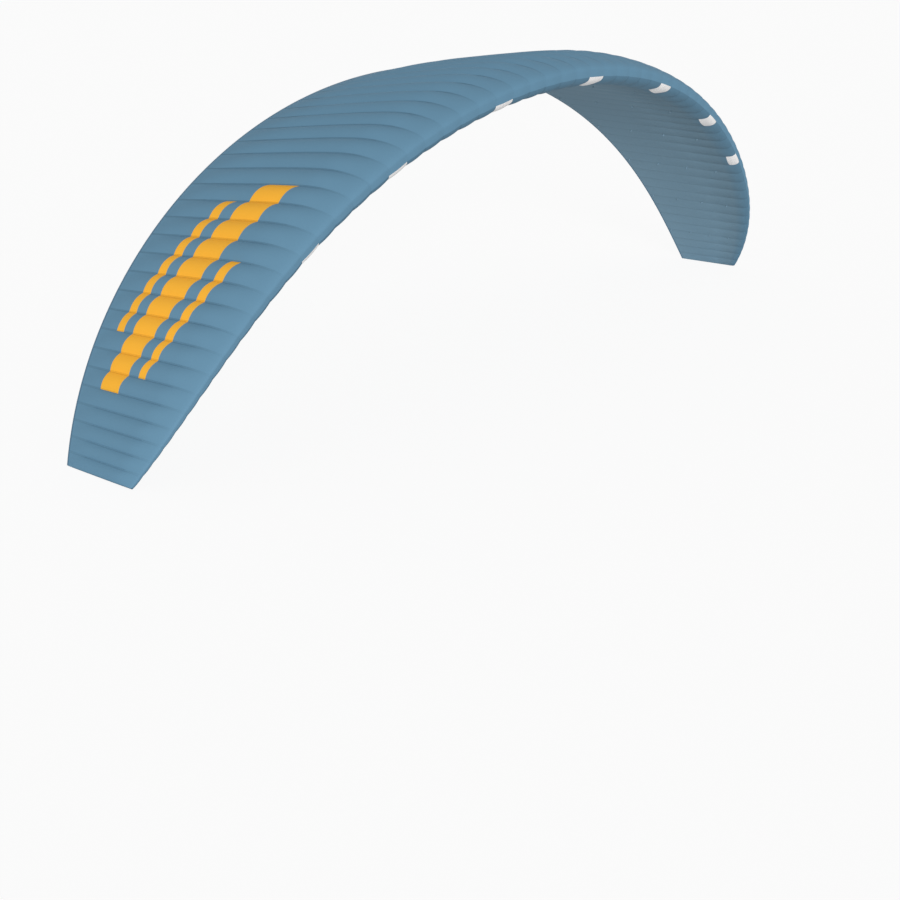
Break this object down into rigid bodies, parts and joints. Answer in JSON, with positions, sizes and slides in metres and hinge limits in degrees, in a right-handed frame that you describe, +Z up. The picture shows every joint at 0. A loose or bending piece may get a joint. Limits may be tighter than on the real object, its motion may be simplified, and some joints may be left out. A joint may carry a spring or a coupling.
{
  "type": "kitesurfing kite",
  "caption": "Closed-cell ram-air kite: an arched, inflated foil of sewn cells with white intake panels, inner ribs, one-way valve flaps, line tabs and a deflation zip",
  "frame": {"origin": "on the ground, midway between the wing tips and between the foremost nose and the trailing edge", "axes": "+X along the span to the right wing, +Y from the leading edge to the trailing edge, +Z up"},
  "size_m": [7.764, 1.619, 2.2021],
  "materials": {
    "canopy_cloth": "coated ripstop, matt",
    "hem_tape": "woven tape",
    "rib_cloth": "stiff coated cloth",
    "intake_cloth": "fine mesh",
    "valve_cloth": "stiff laminate",
    "zip_tape": "woven tape",
    "zip_metal": "satin"
  },
  "bodies": {
    "canopy": {"top_skin_centre": "canopy_cloth", "top_skin_inner_right": "canopy_cloth", "top_skin_inner_left": "canopy_cloth", "top_skin_outer_right": "canopy_cloth", "top_skin_outer_left": "canopy_cloth", "top_skin_tip_right": "canopy_cloth", "top_skin_tip_left": "canopy_cloth", "bottom_skin_centre": "canopy_cloth", "bottom_skin_inner_right": "canopy_cloth", "bottom_skin_inner_left": "canopy_cloth", "bottom_skin_outer_right": "canopy_cloth", "bottom_skin_outer_left": "canopy_cloth", "bottom_skin_tip_right": "canopy_cloth", "bottom_skin_tip_left": "canopy_cloth", "rib_frame_centre": "rib_cloth", "rib_frame_inner_right": "rib_cloth", "rib_frame_inner_left": "rib_cloth", "rib_frame_outer_right": "rib_cloth", "rib_frame_outer_left": "rib_cloth", "rib_frame_tip_right": "rib_cloth", "rib_frame_tip_left": "rib_cloth", "trailing_edge_tape_centre": "hem_tape", "trailing_edge_tape_inner_right": "hem_tape", "trailing_edge_tape_inner_left": "hem_tape", "trailing_edge_tape_outer_right": "hem_tape", "trailing_edge_tape_outer_left": "hem_tape", "trailing_edge_tape_tip_right": "hem_tape", "trailing_edge_tape_tip_left": "hem_tape", "tip_panel_right": "canopy_cloth", "tip_panel_left": "canopy_cloth", "intake_panel_centre": "intake_cloth", "intake_panel_right_1": "intake_cloth", "intake_panel_right_2": "intake_cloth", "intake_panel_right_3": "intake_cloth", "intake_panel_left_1": "intake_cloth", "intake_panel_left_2": "intake_cloth", "intake_panel_left_3": "intake_cloth", "deflation_zip_tape": "zip_tape"},
    "valve_centre": {"valve_flap_centre": "valve_cloth"},
    "valve_right_1": {"valve_flap_right_1": "valve_cloth"},
    "valve_right_2": {"valve_flap_right_2": "valve_cloth"},
    "valve_right_3": {"valve_flap_right_3": "valve_cloth"},
    "valve_left_1": {"valve_flap_left_1": "valve_cloth"},
    "valve_left_2": {"valve_flap_left_2": "valve_cloth"},
    "valve_left_3": {"valve_flap_left_3": "valve_cloth"},
    "zip_slider": {"zip_slider": "zip_metal"}
  },
  "joints": [
    {"name": "valve_centre_hinge", "type": "hinge", "parent": "canopy", "child": "valve_centre", "pos_m": [0, -0.78821, 2.03403], "axis": [1, 0, 0], "range_deg": [0, 50]},
    {"name": "valve_right_1_hinge", "type": "hinge", "parent": "canopy", "child": "valve_right_1", "pos_m": [1.10484, -0.76516, 1.92273], "axis": [0.9787, 0.0402, -0.2014], "range_deg": [0, 50]},
    {"name": "valve_right_2_hinge", "type": "hinge", "parent": "canopy", "child": "valve_right_2", "pos_m": [2.115, -0.70704, 1.60045], "axis": [0.9108, 0.0672, -0.4073], "range_deg": [0, 50]},
    {"name": "valve_right_3_hinge", "type": "hinge", "parent": "canopy", "child": "valve_right_3", "pos_m": [2.81914, -0.64368, 1.20151], "axis": [0.8127, 0.0927, -0.5753], "range_deg": [0, 50]},
    {"name": "valve_left_1_hinge", "type": "hinge", "parent": "canopy", "child": "valve_left_1", "pos_m": [-1.10484, -0.76516, 1.92273], "axis": [0.9787, -0.0402, 0.2014], "range_deg": [0, 50]},
    {"name": "valve_left_2_hinge", "type": "hinge", "parent": "canopy", "child": "valve_left_2", "pos_m": [-2.115, -0.70704, 1.60045], "axis": [0.9108, -0.0672, 0.4073], "range_deg": [0, 50]},
    {"name": "valve_left_3_hinge", "type": "hinge", "parent": "canopy", "child": "valve_left_3", "pos_m": [-2.81914, -0.64368, 1.20151], "axis": [0.8127, -0.0927, 0.5753], "range_deg": [0, 50]},
    {"name": "zip_slide", "type": "slide", "parent": "canopy", "child": "zip_slider", "axis": [1, 0, 0], "range_m": [0, 0.14]}
  ]
}
